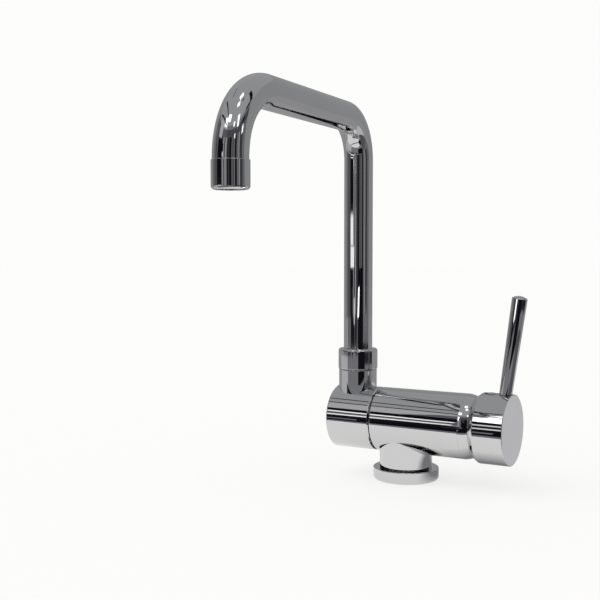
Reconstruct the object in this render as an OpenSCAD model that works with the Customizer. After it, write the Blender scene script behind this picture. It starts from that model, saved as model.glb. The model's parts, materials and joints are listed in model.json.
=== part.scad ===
// Folding single-lever tap for a caravan sink. All lengths are in millimetres.
// The origin is the middle of the foot's underside, +Z is up, the spout points to -Y
// and the barrel lies along X, with the folding head at -X and the lever at +X.

/* [Foot and column] */
// Diameter of the round foot
flange_d = 45; // [43:0.5:60]
// Height of the foot
flange_h = 8.4; // [6:0.2:12]
// Rounding of the foot's upper edge
flange_top_round = 1.2; // [0.4:0.1:2]
// Rounding of the foot's lower edge
flange_foot_round = 2.3; // [0.5:0.1:2.8]
// Diameter of the column between the foot and the barrel
column_d = 35.8; // [33:0.2:40]
// Diameter of the spigot that centres the foot under the column
spigot_d = 30; // [28:0.5:31]
// Width of the gasket in the foot's underside
gasket_w = 2.4; // [1.6:0.1:2.6]
// Height of the gasket
gasket_h = 2.2; // [1.5:0.1:3]
// Wall between the foot's bore and the gasket's groove
gasket_wall = 1.3; // [1:0.1:1.6]

/* [Inlets] */
// Tapping diameter of the two hose inlets
inlet_d = 9; // [8:0.1:9.6]
// Depth of the inlets' threads
inlet_depth = 11; // [8:0.5:14]
// Distance between the two inlets
inlet_pitch = 15; // [13:0.2:16]
// Distance of the inlets from the column's axis, towards the lever
inlet_offset = 2.5; // [1:0.1:4]
// Tapping diameter of the hole for the fixing stud
stud_d = 6.8; // [5:0.1:7]
// Depth of the stud's thread
stud_depth = 14; // [8:0.5:15]
// Distance of the stud from the column's axis, towards the head
stud_offset = 9; // [8:0.1:10]
// Diameter of the water ways in the body
water_d = 4.8; // [4:0.1:5.2]

/* [Barrel] */
// Height of the barrel's axis above the worktop
axis_h = 40; // [36:0.5:60]
// Wall of the barrel around the cartridge nut's thread
body_wall = 2.85; // [2:0.05:5]
// Length of the barrel from the column's axis to the seam with the head
body_reach = 18.9; // [17:0.1:26]
// Metal between the inlets and the cartridge bay
bay_wall = 9.1; // [4:0.1:16]
// Width of the seam between head and barrel
seam_gap = 0.4; // [0.2:0.1:0.8]
// Bevel on both sides of that seam
seam_bevel = 0.8; // [0.3:0.1:1.5]
// Bevel on the other turned edges
edge_bevel = 0.3; // [0.1:0.05:0.6]

/* [Fold joint] */
// Length of the head from the seam to the riser's axis
head_nose = 18; // [16:0.1:26]
// Diameter of the axle's journal
axle_d = 20; // [18:0.2:22]
// Step from the journal up to the axle's root in the body
axle_step = 0.5; // [0.3:0.1:1]
// Length of the axle's root in the body
axle_root = 11; // [8:0.5:13]
// Room for the water past the axle's root
socket_room = 2; // [1:0.1:3]
// Diameter of the axle's bore
axle_bore_d = 11; // [8:0.2:12]
// Width of the water chamber round the axle
chamber_w = 6; // [5:0.1:8]
// Depth of the water chamber round the axle
chamber_depth = 3; // [2:0.1:4]
// Width of the chamber's floor on each side of the axle's ports
port_rim = 0.3; // [0.2:0.1:0.6]
// Wall between the chamber and each seal's groove
seal_wall = 1.1; // [0.8:0.1:2]
// Wall between the left seal's groove and the axle's end
axle_end_wall = 1.9; // [1.2:0.1:3]
// Thickness of the seals' cords
seal_d = 1.78; // [1.5:0.01:2.4]
// Thickness of the thrust washer
thrust_t = 1.4; // [1:0.1:2]
// Width of the thrust washer
thrust_w = 4; // [3:0.1:4.4]
// Diameter of the pin that stops the fold
stop_pin_d = 2.5; // [2:0.1:3]
// Length of the stop pin in the head
stop_pin_sink = 6; // [4:0.5:9]
// Length of the stop pin in the barrel's groove
stop_pin_reach = 2.6; // [1.5:0.1:4]
// Angle of the fold from upright to flat
fold_angle = 90; // [60:5:100]
// Thickness of the retaining washer
retain_t = 1.5; // [1:0.1:2.5]
// Width of the retaining washer's bearing on the head
retain_bearing = 3; // [2:0.1:4]
// Diameter of the retaining screw's thread
screw_d = 5; // [4:0.1:6]
// Height of the retaining screw's head
screw_head_h = 2.9; // [2:0.1:4]
// Diameter of the retaining screw's head
screw_head_d = 9; // [8:0.1:11]
// Width of the retaining screw's hexagon socket
screw_key = 4; // [3:0.1:5]
// Depth of that socket
screw_key_depth = 1.8; // [1:0.1:1.9]
// Wall between the screw's hole and the axle's bore
screw_wall = 1; // [0.8:0.1:1.5]
// Thickness of the head's end cap
cap_t = 1.5; // [1:0.1:3]
// Width of the head's rim round the end cap
cap_rim = 5.85; // [4:0.05:7]

/* [Boss and spout nut] */
// Wall of the boss round the spout's spigot
boss_wall = 3.2; // [2.7:0.05:6]
// Height of the boss above the barrel's axis
boss_h = 34; // [31:0.2:45]
// Step from the boss out to the nut
nut_step = 0.45; // [0:0.05:3]
// Height of the spout nut
nut_h = 14.4; // [13:0.1:20]
// Rounding of the nut's upper edge
nut_round = 1.2; // [0.4:0.1:1.5]
// Wall of the boss inside the nut's thread
nut_thread_wall = 1.95; // [1.6:0.05:2.3]
// Length of the thread on the boss
nut_thread_len = 4.9; // [4:0.1:6]
// Thickness of the nut's lip
nut_lip = 2.9; // [2:0.1:4]
// Length of the spigot below its collar
spigot_len = 15; // [12:0.2:18]
// Room below the spigot in the boss
spigot_room = 1.2; // [0.8:0.1:2]
// Distance of the spigot's lower seal from its foot
spigot_seal_set = 3.75; // [2.5:0.05:4.5]
// Distance between the spigot's two seals
spigot_seal_pitch = 5.55; // [4:0.05:6]
// Height of the spigot's collar
collar_h = 3; // [2:0.1:4]
// Length of the spigot in the tube
spigot_in_tube = 10; // [6:0.5:16]
// Wall of the spigot under its seals
spigot_wall = 1.7; // [1.2:0.1:2.5]

/* [Spout] */
// Outer diameter of the spout's tube
tube_d = 20; // [18:0.1:24]
// Wall of the spout's tube
tube_wall = 1; // [0.8:0.1:1.5]
// Height of the arm's middle line above the worktop
arm_h = 247.3; // [200:0.5:320]
// Distance from the riser's axis to the outlet's axis
reach = 185.6; // [140:0.1:260]
// Middle-line radius of the bend over the riser
rear_bend = 28; // [20:0.5:40]
// Middle-line radius of the bend over the outlet
front_bend = 40.5; // [30:0.5:56]
// Length of the straight tube under the front bend
drop = 0.6; // [0.1:0.1:20]
// Angle of the resting spout from straight ahead, towards the lever
spout_rest = 4.8; // [-30:0.1:30]

/* [Aerator] */
// Step from the tube out to the aerator's housing
aerator_step = 0.6; // [0.2:0.05:3]
// Height of the aerator's housing
aerator_h = 16; // [14:0.5:26]
// Rounding of the housing's lower edge
aerator_round = 1.4; // [0.4:0.1:1.5]
// Wall of the housing round its thread
aerator_wall = 0.95; // [0.8:0.05:1.5]
// Width of the lip that holds the insert
aerator_lip = 1.4; // [0.8:0.1:2]
// Thickness of that lip
aerator_lip_t = 1.6; // [1.5:0.1:2.4]
// Thickness of the aerator's insert
insert_t = 4.6; // [3:0.1:6]
// Diameter of the insert's jets
jet_d = 1.6; // [1:0.1:1.9]
// Distance between the rings of jets
jet_pitch = 2.9; // [2.6:0.1:3]
// Thickness of the aerator's washer
washer_t = 1.8; // [1:0.1:2.5]
// Length of the outlet bush's nose in the tube
bush_nose = 2; // [1:0.1:2.2]
// Wall of the outlet bush
bush_wall = 1.5; // [1:0.1:2]

/* [Cartridge] */
// Diameter of the ceramic cartridge
cart_d = 35; // [34:0.1:41]
// Wall of the cartridge's housing
cart_wall = 1.6; // [1.2:0.1:2]
// Thickness of the port plate
base_t = 5; // [4:0.1:7]
// Thickness of the fixed disc
fixed_t = 4; // [3:0.1:6]
// Thickness of the moving disc
moving_t = 3; // [2.5:0.1:5]
// Diameter of the moving disc
moving_d = 20.8; // [19:0.1:21]
// Height of the disc carrier
carrier_h = 7; // [6.8:0.1:9]
// Gap between the disc carrier and the turret
carrier_gap = 0.6; // [0.3:0.1:1]
// Thickness of the housing's shoulder
shoulder_t = 2; // [1.5:0.1:3]
// Distance from the shoulder's top to the stem's pivot
pivot_rise = 4; // [3.5:0.1:6]
// Diameter of the turret
turret_d = 22; // [21:0.1:23]
// Thickness of the turret's flange
turret_flange = 2.3; // [1.5:0.1:3]
// Width of the turret's flange
turret_lip = 1.6; // [1:0.1:2.5]
// Wall of the turret past the stem's slot
turret_wall = 2.8; // [2.4:0.1:3]
// Wall of the housing's neck round the turret
neck_wall = 2.35; // [1.8:0.05:2.4]
// Height of the neck past the stem's pivot
neck_rise = 4; // [3:0.1:4.5]
// Height of the turret past the neck
turret_rise = 1; // [0.5:0.1:1.5]
// Height of the inlet ports above the barrel's axis
inlet_port = 4.2; // [4:0.1:4.6]
// Depth of the outlet port below the barrel's axis
outlet_port = 3.2; // [3:0.1:3.3]
// Distance of the fixed disc's inlet ports from its middle plane
disc_port = 5.2; // [5:0.1:5.6]
// Thickness of the port seals' cords
port_seal_d = 1.36; // [1.2:0.02:1.5]
// Distance from a port's edge to its seal's middle line
port_seal_set = 1; // [0.9:0.05:1.1]
// Diameter of the moving disc's mixing chamber
mixing_d = 8.4; // [8:0.1:8.8]
// Width of the square stem
stem_w = 7; // [6.5:0.1:7.2]
// Diameter of the stem's pin
pin_d = 3; // [2:0.1:3.4]
// Depth of the pin's ends in the turret
pin_set = 0.3; // [0.1:0.1:1]
// Metal of the stem below its pin
stem_wall = 3; // [2:0.1:3.2]
// Distance from the stem's pivot to its finger
finger_arm = 12; // [11.8:0.1:12.2]
// Diameter of the stem's finger
finger_d = 6; // [5:0.1:6.2]
// Width of the stem's neck above its finger
stem_neck_w = 4; // [3:0.1:4.5]
// Step from the bay up to the cartridge nut's thread
thread_step = 1.3; // [1:0.1:2]
// Length of the nut's thread below the cartridge's shoulder
thread_runout = 0.4; // [0.2:0.1:1]
// Rise of the cartridge nut past the barrel's end
nut_rise = 3.3; // [2.5:0.1:3.6]
// Depth of the nut's key hexagon below the barrel's end
nut_key_sink = 1; // [0.5:0.1:2]

/* [Lever] */
// Depth of the stem's pivot below the barrel's end
pivot_depth = 3.1; // [2.5:0.1:4]
// Opening tilt of the lever in degrees
flow_tilt = 25; // [15:1:26]
// Wall of the domed ring
dome_wall = 2.6; // [2.2:0.1:2.8]
// Step from the bay in to the domed ring's thread
dome_thread_step = 0.6; // [0.4:0.1:0.8]
// Spare angle of the domed ring's mouth in degrees
mouth_spare = 1; // [0.5:0.1:2]
// Step from the barrel out to the hub
hub_step = 1.6; // [1.2:0.05:3]
// Distance from the barrel's end to the hub's edge
hub_gap = 6.4; // [6:0.1:8]
// Length of the hub's sloped edge
hub_slope = 3.8; // [2:0.1:6]
// Width of the hub's lip round the domed ring
hub_lip = 0.4; // [0.3:0.1:1]
// Length of the hub
hub_len = 23.85; // [22:0.05:32]
// Thickness of the hub's end wall past the stem
hub_face = 5.4; // [3:0.1:6.5]
// Wall of the hub's sleeve round the stem
sleeve_wall = 1.65; // [1.2:0.05:1.8]
// Length of the sleeve past the grub screw
sleeve_rim = 1; // [0.5:0.1:1.2]
// Distance from the hub's end face to the lever's root
lever_set = 4.95; // [4.6:0.05:8]
// Lean of the lever away from the barrel in degrees
lever_lean = 7.8; // [0:0.1:10]
// Length of the lever outside the hub
lever_len = 65; // [40:1:100]
// Diameter of the lever at its root
lever_root_d = 8.5; // [7:0.1:8.8]
// Diameter of the lever at its tip
lever_tip_d = 10.1; // [7:0.1:14]
// Radius of the lever's domed tip
lever_dome = 9; // [7.5:0.1:20]
// Diameter of the lever's threaded root
lever_thread_d = 6; // [4:0.1:6.4]
// Length of the lever's threaded root
lever_thread_len = 8; // [5:0.5:9]
// Depth of the lever's seat in the hub
lever_seat = 1.4; // [1.2:0.1:2]
// Distance from the hub's edge to the plug and its screw
plug_set = 9.3; // [9:0.1:10]
// Diameter of the plug
plug_d = 8; // [7:0.1:8.6]
// Depth of the plug's seat
plug_sink = 3; // [2:0.1:4]
// Rise of the plug's dome above the hub
plug_rise = 0.45; // [0.2:0.05:1]
// Diameter of the grub screw
grub_d = 5; // [4:0.1:5.4]
// Length of the grub screw
grub_len = 5; // [4:0.1:7]
// Width of the grub screw's hexagon socket
grub_key = 2.5; // [2:0.1:3]
// Depth of that socket
grub_key_depth = 2.5; // [1:0.1:3]

/* [Fits] */
// Gap between pieces that are screwed, soldered or pressed together
joint_gap = 0.03; // [0.01:0.01:0.06]
// Radial gap of a turning fit
turn_gap = 0.05; // [0.02:0.01:0.08]
// Gap between pieces that pass each other
pass_gap = 0.35; // [0.3:0.05:0.5]
// Gap between the cartridge and its bay
bay_gap = 0.2; // [0.1:0.05:0.3]
// Gap between the outlet bush's nose and the bent tube
bush_nose_gap = 0.1; // [0.08:0.01:0.2]
// Gap of pieces that lie loose in their seats
loose_gap = 0.1; // [0.05:0.01:0.15]
// Gap of the spout nut to the boss and to the tube
nut_seam = 0.15; // [0.1:0.01:0.25]
// Gap of the turning pieces in the spout nut to its bore
collar_gap = 0.4; // [0.2:0.05:0.6]
// Gap past the tip of a screw
tip_gap = 0.2; // [0.1:0.05:0.4]
// Gap between a seal and the bore that it presses on
seal_gap = 0.02; // [0.01:0.01:0.04]
// Room for a seal under its cord
seal_room = 0.03; // [0.02:0.01:0.1]
// Room for a seal along its groove
groove_play = 0.6; // [0.3:0.1:0.8]
// Room round a port's seal in its seat
port_seal_play = 0.12; // [0.06:0.02:0.2]
// Gap round the stem in the turret's slot
stem_gap = 0.2; // [0.1:0.05:0.4]
// Gap round the stem's finger in the carrier
finger_gap = 0.4; // [0.3:0.05:0.5]

/* [Hidden] */
$fn = 96;
// Overshoot of every cut
over = 1;

// Stations along the barrel's axis, from the head to the lever
riser_x = -(body_reach + seam_gap / 2 + head_nose);
head_right = riser_x + head_nose;
body_left = head_right + seam_gap;
groove_w = seal_d + groove_play;
chamber_l = riser_x - chamber_w / 2;
chamber_r = riser_x + chamber_w / 2;
left_seal_x = chamber_l - seal_wall - groove_w / 2;
right_seal_x = chamber_r + seal_wall + groove_w / 2;
axle_end = left_seal_x - groove_w / 2 - axle_end_wall;
screw_seat = axle_end - retain_t;
head_left = screw_seat - screw_head_h - cap_t - joint_gap;
thrust_floor = head_right + thrust_t;
axle_root_end = body_left + axle_root;
socket_end = axle_root_end + socket_room;
bay_floor = inlet_offset + water_d / 2 + bay_wall;
fixed_x = bay_floor + base_t;
moving_x = fixed_x + fixed_t;
carrier_x = moving_x + moving_t;
carrier_top = carrier_x + carrier_h;
turret_x = carrier_top + carrier_gap;
roof_x = turret_x + turret_flange + loose_gap;
shoulder_x = roof_x + shoulder_t;
pivot_x = shoulder_x + pivot_rise;
neck_top = pivot_x + neck_rise;
turret_top = neck_top + turret_rise;
body_right = pivot_x + pivot_depth;
nut_top = body_right + nut_rise;
hub_left = body_right + hub_gap;
hub_right = hub_left + hub_len;
plug_x = hub_left + plug_set;
stem_end = hub_right - hub_face;
lever_x = hub_right - lever_set;

// Radii on the barrel's axis
cart_r = cart_d / 2;
bay_r = cart_r + bay_gap;
thread_r = bay_r + thread_step;
body_r = thread_r + body_wall;
hub_r = body_r + hub_step;
axle_r = axle_d / 2;
axle_hole_r = axle_r + turn_gap;
axle_root_r = axle_r + axle_step;
chamber_hole_r = axle_r + chamber_depth;
axle_port_r = chamber_w / 2 - port_rim;
thrust_in = axle_root_r + pass_gap;
thrust_out = thrust_in + thrust_w;
stop_slot_r = stop_pin_d / 2 + pass_gap;
stop_ring_r = (thrust_out + body_r - seam_bevel) / 2;
cap_r = body_r - cap_rim;
water_r = water_d / 2;
port_seal_r = water_r + port_seal_set;
port_seat_h = port_seal_d + 2 * seal_gap;
turret_r = turret_d / 2;
neck_hole_r = turret_r + turn_gap;
neck_r = neck_hole_r + neck_wall;
dome_r = norm([body_r, pivot_depth]);
dome_in_r = dome_r - dome_wall;
dome_thread_r = bay_r - dome_thread_step;
hub_cave_r = dome_r + pass_gap;
sleeve_r = stem_w / sqrt(2) + joint_gap + sleeve_wall;
mouth_angle = flow_tilt + asin((sleeve_r + pass_gap) / dome_in_r) + mouth_spare;
mouth_r = dome_r * sin(mouth_angle);
hub_floor = pivot_x + dome_r * cos(mouth_angle - flow_tilt) + pass_gap;
hub_lip_r = sqrt(pow(hub_cave_r, 2) - pow(hub_left - pivot_x, 2)) + hub_lip;

// Heights and radii of the spout
tube_r = tube_d / 2;
tube_in_r = tube_r - tube_wall;
spigot_hole_r = tube_r + turn_gap;
boss_r = spigot_hole_r + boss_wall;
nut_thread_r = spigot_hole_r + nut_thread_wall;
spout_nut_r = boss_r + nut_step;
boss_top = axis_h + boss_h;
thread_top = boss_top + nut_thread_len;
collar_z = thread_top + loose_gap;
tube_foot = collar_z + collar_h;
spout_nut_top = boss_top + nut_h;
lip_z = spout_nut_top - nut_lip;
spigot_foot = collar_z - spigot_len;
spout_bore_floor = spigot_foot - spigot_room;
low_seal_z = spigot_foot + spigot_seal_set;
spigot_seals = [low_seal_z, low_seal_z + spigot_seal_pitch];
spigot_bore_r = spigot_hole_r - seal_gap - seal_d - seal_room - spigot_wall;
tube_end = arm_h - front_bend - drop;
aerator_r = tube_r + aerator_step;
aerator_top = tube_end - joint_gap;
outlet_z = aerator_top - aerator_h;
insert_z = outlet_z + aerator_lip_t;
washer_z = insert_z + insert_t;
bush_foot = washer_z + washer_t;
bush_r = aerator_r - aerator_wall - joint_gap;

chrome = [0.78, 0.79, 0.80];
brass = [0.76, 0.60, 0.30];
steel = [0.55, 0.56, 0.58];
rubber = [0.09, 0.09, 0.10];
ceramic = [0.93, 0.92, 0.88];
grey_plastic = [0.62, 0.64, 0.66];
white_plastic = [0.88, 0.88, 0.86];
black_plastic = [0.15, 0.15, 0.16];

// Places: the barrel's axis as local Z with +Z world as local Y, the riser's axis,
// the spout's plane with the arm as local X, the outlet's axis and the lever's axis
module on_barrel() {
    translate([0, 0, axis_h]) rotate([90, 0, 90]) children();
}

module on_riser() {
    translate([riser_x, 0, 0]) children();
}

module in_spout() {
    on_riser() rotate([0, 0, spout_rest - 90]) children();
}

module on_outlet() {
    in_spout() translate([reach, 0, 0]) children();
}

module on_lever() {
    translate([lever_x, 0, axis_h + hub_r]) rotate([0, lever_lean, 0]) children();
}

// Round bar between two stations of the local Z axis
module bar(r, from, to) {
    translate([0, 0, from]) cylinder(h = to - from, r = r);
}

// Square section of a ring, as [radius, station]
module ring_section(inner, outer, from, to) {
    translate([inner, from]) square([outer - inner, to - from]);
}

module ring(inner, outer, from, to) {
    rotate_extrude() ring_section(inner, outer, from, to);
}

// Bar with bevels on both end edges
module bevelled_bar(r, from, to, bevel_from, bevel_to) {
    rotate_extrude() polygon([
        [0, from], [r - bevel_from, from], [r, from + bevel_from],
        [r, to - bevel_to], [r - bevel_to, to], [0, to]
    ]);
}

// What a rounding takes off the corner at [r, z] of a section whose metal lies inward and towards side
module rounded_off(r, z, rounding, side) {
    difference() {
        translate([r - rounding, side > 0 ? z - over : z - rounding]) square(rounding + over);
        translate([r - rounding, z + side * rounding]) circle(rounding);
    }
}

// Seal of round cord that fills a groove under a bore
module seal(bore_r, station) {
    translate([0, 0, station]) rotate_extrude()
        translate([bore_r - seal_gap - seal_d / 2, 0]) circle(d = seal_d);
}

module seal_groove(shaft_r, bore_r, station) {
    floor_r = bore_r - seal_gap - seal_d - seal_room;
    ring(floor_r, shaft_r + over, station - groove_w / 2, station + groove_w / 2);
}

// Ports of the cartridge: two inlets above the axis and one outlet below it
module at_ports(inlet_half) {
    for (side = [-1, 1]) translate([side * inlet_half, inlet_port]) children();
    translate([0, -outlet_port]) children();
}

module base_flange() {
    r = flange_d / 2;
    groove_in = spigot_d / 2 + joint_gap + gasket_wall;
    color(chrome) rotate_extrude() difference() {
        ring_section(spigot_d / 2 + joint_gap, r, 0, flange_h);
        rounded_off(r, 0, flange_foot_round, 1);
        rounded_off(r, flange_h, flange_top_round, -1);
        ring_section(groove_in - joint_gap, groove_in + gasket_w + joint_gap, -over, gasket_h);
    }
}

module base_gasket() {
    groove_in = spigot_d / 2 + joint_gap + gasket_wall;
    color(rubber) ring(groove_in, groove_in + gasket_w, 0, gasket_h);
}

// Quarter-turn groove for the stop pin, from the pin's resting place
module stop_groove() {
    depth = stop_pin_reach + pass_gap;
    module end_hole() {
        translate([stop_ring_r, 0]) bar(stop_slot_r, body_left - over, body_left + depth);
    }
    rotate([0, 0, -fold_angle]) {
        end_hole();
        rotate([0, 0, fold_angle]) end_hole();
        rotate_extrude(angle = fold_angle)
            translate([stop_ring_r - stop_slot_r, body_left - over])
                square([2 * stop_slot_r, over + depth]);
    }
}

module tap_body() {
    color(chrome) difference() {
        union() {
            on_barrel() bevelled_bar(body_r, body_left, body_right, seam_bevel, edge_bevel);
            bar(column_d / 2, flange_h, axis_h);
            bar(spigot_d / 2, 0, axis_h);
        }
        on_barrel() {
            bar(bay_r, bay_floor, body_right + over);
            bar(thread_r, shoulder_x - thread_runout, body_right + over);
            bar(axle_root_r + joint_gap, body_left - over, socket_end);
            bar(thrust_out + loose_gap, body_left - over, thrust_floor);
            stop_groove();
            for (side = [-1, 1]) translate([side * inlet_pitch / 2, inlet_port])
                bar(water_r, inlet_offset, bay_floor + over);
            translate([0, -outlet_port]) bar(water_r, socket_end - over, bay_floor + over);
        }
        for (side = [-1, 1]) translate([inlet_offset, side * inlet_pitch / 2]) {
            bar(inlet_d / 2, -over, inlet_depth);
            bar(water_r, 0, axis_h + inlet_port + water_r);
        }
        translate([-stud_offset, 0]) bar(stud_d / 2, -over, stud_depth);
    }
}

module fold_axle() {
    color(brass) on_barrel() difference() {
        union() {
            bar(axle_r, axle_end, axle_root_end);
            bar(axle_root_r, body_left, axle_root_end);
        }
        seal_groove(axle_r, axle_hole_r, left_seal_x);
        seal_groove(axle_r, axle_hole_r, right_seal_x);
        bar(axle_bore_d / 2, chamber_l, axle_root_end + over);
        for (turn = [0, 90]) translate([0, 0, riser_x]) rotate([90, 0, turn])
            cylinder(h = 2 * axle_r + over, r = axle_port_r, center = true);
        bar(screw_d / 2 + joint_gap, axle_end - over, chamber_l - screw_wall);
    }
}

module axle_seals() {
    color(rubber) on_barrel() for (station = [left_seal_x, right_seal_x]) seal(axle_hole_r, station);
}

module thrust_washer() {
    color(black_plastic) on_barrel() ring(thrust_in, thrust_out, head_right, thrust_floor);
}

module fold_stop_pin() {
    color(steel) on_barrel() rotate([0, 0, -fold_angle]) translate([stop_ring_r, 0])
        bar(stop_pin_d / 2, head_right - stop_pin_sink, body_left + stop_pin_reach);
}

module retaining_washer() {
    color(steel) on_barrel() ring(screw_d / 2 + loose_gap, axle_r + retain_bearing, screw_seat, axle_end);
}

module retaining_screw() {
    color(steel) on_barrel() difference() {
        union() {
            bar(screw_head_d / 2, screw_seat - screw_head_h, screw_seat);
            bar(screw_d / 2, screw_seat - over, chamber_l - screw_wall - tip_gap);
        }
        translate([0, 0, screw_seat - screw_head_h - over])
            cylinder(h = over + screw_key_depth, d = screw_key / cos(30), $fn = 6);
    }
}

module head_end_cap() {
    color(chrome) on_barrel() bevelled_bar(cap_r, head_left, head_left + cap_t, edge_bevel, 0);
}

module fold_head() {
    color(chrome) difference() {
        union() {
            on_barrel() bevelled_bar(body_r, head_left, head_right, seam_bevel, seam_bevel);
            on_riser() bar(boss_r, axis_h, boss_top);
            on_riser() bar(nut_thread_r, axis_h, thread_top);
        }
        on_barrel() {
            bar(axle_hole_r, head_left - over, head_right + over);
            bar(cap_r + joint_gap, head_left - over, axle_end + loose_gap);
            bar(chamber_hole_r, chamber_l, chamber_r);
            rotate([0, 0, -fold_angle]) translate([stop_ring_r, 0])
                bar(stop_pin_d / 2 + joint_gap, head_right - stop_pin_sink - tip_gap, head_right + over);
        }
        on_riser() {
            bar(axle_port_r, axis_h, spout_bore_floor + over);
            bar(spigot_hole_r, spout_bore_floor, thread_top + over);
        }
    }
}

module spout_nut() {
    foot = boss_top + nut_seam;
    color(chrome) on_riser() rotate_extrude() difference() {
        ring_section(tube_r + nut_seam, spout_nut_r, foot, spout_nut_top);
        ring_section(0, nut_thread_r + joint_gap, foot - over, lip_z);
        rounded_off(spout_nut_r, spout_nut_top, nut_round, -1);
        rounded_off(spout_nut_r, foot, edge_bevel, 1);
    }
}

module spout_spigot() {
    color(brass) on_riser() difference() {
        union() {
            bar(tube_r, spigot_foot, collar_z);
            bar(nut_thread_r - collar_gap, collar_z, tube_foot);
            bar(tube_in_r - joint_gap, collar_z, tube_foot + spigot_in_tube);
        }
        bar(spigot_bore_r, spigot_foot - over, tube_foot + spigot_in_tube + over);
        for (station = spigot_seals) seal_groove(tube_r, spigot_hole_r, station);
    }
}

module spout_seals() {
    color(rubber) on_riser() for (station = spigot_seals) seal(spigot_hole_r, station);
}

module slip_ring() {
    color(white_plastic) on_riser()
        ring(tube_r + loose_gap, nut_thread_r - collar_gap, tube_foot, lip_z - loose_gap);
}

// Round section of the spout's tube
module tube_section() {
    difference() {
        circle(tube_r);
        circle(tube_in_r);
    }
}

// Quarter bend of the tube in the local XZ plane, round a centre, from a first angle
module tube_bend(x, z, radius, from) {
    translate([x, 0, z]) rotate([90, 0, 0]) rotate([0, 0, from])
        rotate_extrude(angle = 90) translate([radius, 0]) tube_section();
}

module spout_tube() {
    color(chrome) in_spout() {
        translate([0, 0, tube_foot]) linear_extrude(arm_h - rear_bend - tube_foot) tube_section();
        tube_bend(rear_bend, arm_h - rear_bend, rear_bend, 90);
        translate([rear_bend, 0, arm_h]) rotate([0, 90, 0])
            linear_extrude(reach - rear_bend - front_bend) tube_section();
        tube_bend(reach - front_bend, arm_h - front_bend, front_bend, 0);
        translate([reach, 0, tube_end]) linear_extrude(drop) tube_section();
    }
}

module outlet_bush() {
    color(brass) on_outlet() rotate_extrude() {
        ring_section(tube_in_r - bush_wall, bush_r, bush_foot, tube_end);
        ring_section(tube_in_r - bush_wall, tube_in_r - bush_nose_gap, tube_end - over, tube_end + bush_nose);
    }
}

module aerator_housing() {
    color(chrome) on_outlet() rotate_extrude() difference() {
        ring_section(aerator_r - aerator_wall - aerator_lip, aerator_r, outlet_z, aerator_top);
        ring_section(0, aerator_r - aerator_wall, insert_z, aerator_top + over);
        rounded_off(aerator_r, outlet_z, aerator_round, 1);
        rounded_off(aerator_r, aerator_top, edge_bevel, -1);
    }
}

module aerator_washer() {
    color(rubber) on_outlet() ring(tube_in_r - bush_wall, bush_r, washer_z, bush_foot);
}

// Insert with one jet in the middle and rings of six and twelve round it
module aerator_insert() {
    color(grey_plastic) on_outlet() difference() {
        bar(bush_r, insert_z, washer_z);
        bar(jet_d / 2, insert_z - over, washer_z + over);
        for (row = [1, 2], jet = [1 : 6 * row])
            rotate([0, 0, jet * 60 / row]) translate([row * jet_pitch, 0])
                bar(jet_d / 2, insert_z - over, washer_z + over);
    }
}

module cartridge_base() {
    seat_r = port_seal_r + port_seal_d / 2 + port_seal_play;
    color(grey_plastic) on_barrel() difference() {
        bar(cart_r - loose_gap, bay_floor, fixed_x);
        at_ports(inlet_pitch / 2) {
            bar(water_r, bay_floor - over, fixed_x - base_t / 2);
            bar(seat_r, bay_floor - over, bay_floor + port_seat_h);
        }
        for (side = [-1, 1], half = [disc_port, inlet_pitch / 2]) translate([side * half, inlet_port])
            bar(water_r, fixed_x - base_t / 2 - over / 2, fixed_x + over);
        translate([0, -outlet_port]) bar(water_r, bay_floor, fixed_x + over);
    }
}

module port_seals() {
    color(rubber) on_barrel() at_ports(inlet_pitch / 2) translate([0, 0, bay_floor + port_seat_h / 2])
        rotate_extrude() translate([port_seal_r, 0]) circle(d = port_seal_d);
}

module fixed_disc() {
    color(ceramic) on_barrel() difference() {
        bar(cart_r - cart_wall - loose_gap, fixed_x, moving_x);
        at_ports(disc_port) bar(water_r, fixed_x - over, moving_x + over);
    }
}

module moving_disc() {
    color(ceramic) on_barrel() difference() {
        bar(moving_d / 2, moving_x, carrier_x);
        translate([0, -outlet_port]) bar(mixing_d / 2, moving_x - over, moving_x + moving_t / 2);
    }
}

module disc_carrier() {
    slot_w = finger_d + 2 * finger_gap;
    slot_floor = pivot_x - finger_arm - slot_w / 2;
    color(black_plastic) on_barrel() difference() {
        bar(moving_d / 2, carrier_x, carrier_top);
        translate([-slot_w / 2, -slot_w / 2, slot_floor]) cube([slot_w, slot_w, carrier_h]);
    }
}

module cartridge_housing() {
    color(white_plastic) on_barrel() rotate_extrude() {
        ring_section(cart_r - cart_wall, cart_r, fixed_x, shoulder_x);
        ring_section(neck_hole_r, cart_r, roof_x, shoulder_x);
        ring_section(neck_hole_r, neck_r, roof_x, neck_top);
    }
}

module cartridge_turret() {
    slot_w = stem_w + 2 * stem_gap;
    slot_h = turret_d - 2 * turret_wall;
    color(grey_plastic) on_barrel() difference() {
        union() {
            bar(turret_r, turret_x, turret_top);
            bar(turret_r + turret_lip, turret_x, turret_x + turret_flange);
        }
        translate([-slot_w / 2, -slot_h / 2, turret_x - over])
            cube([slot_w, slot_h, turret_top - turret_x + 2 * over]);
        translate([0, 0, pivot_x]) rotate([0, 90, 0])
            cylinder(h = turret_d + over, r = pin_d / 2 + joint_gap, center = true);
    }
}

module stem_pin() {
    color(steel) on_barrel() translate([0, 0, pivot_x]) rotate([0, 90, 0])
        cylinder(h = turret_d - 2 * pin_set, d = pin_d, center = true);
}

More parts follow.
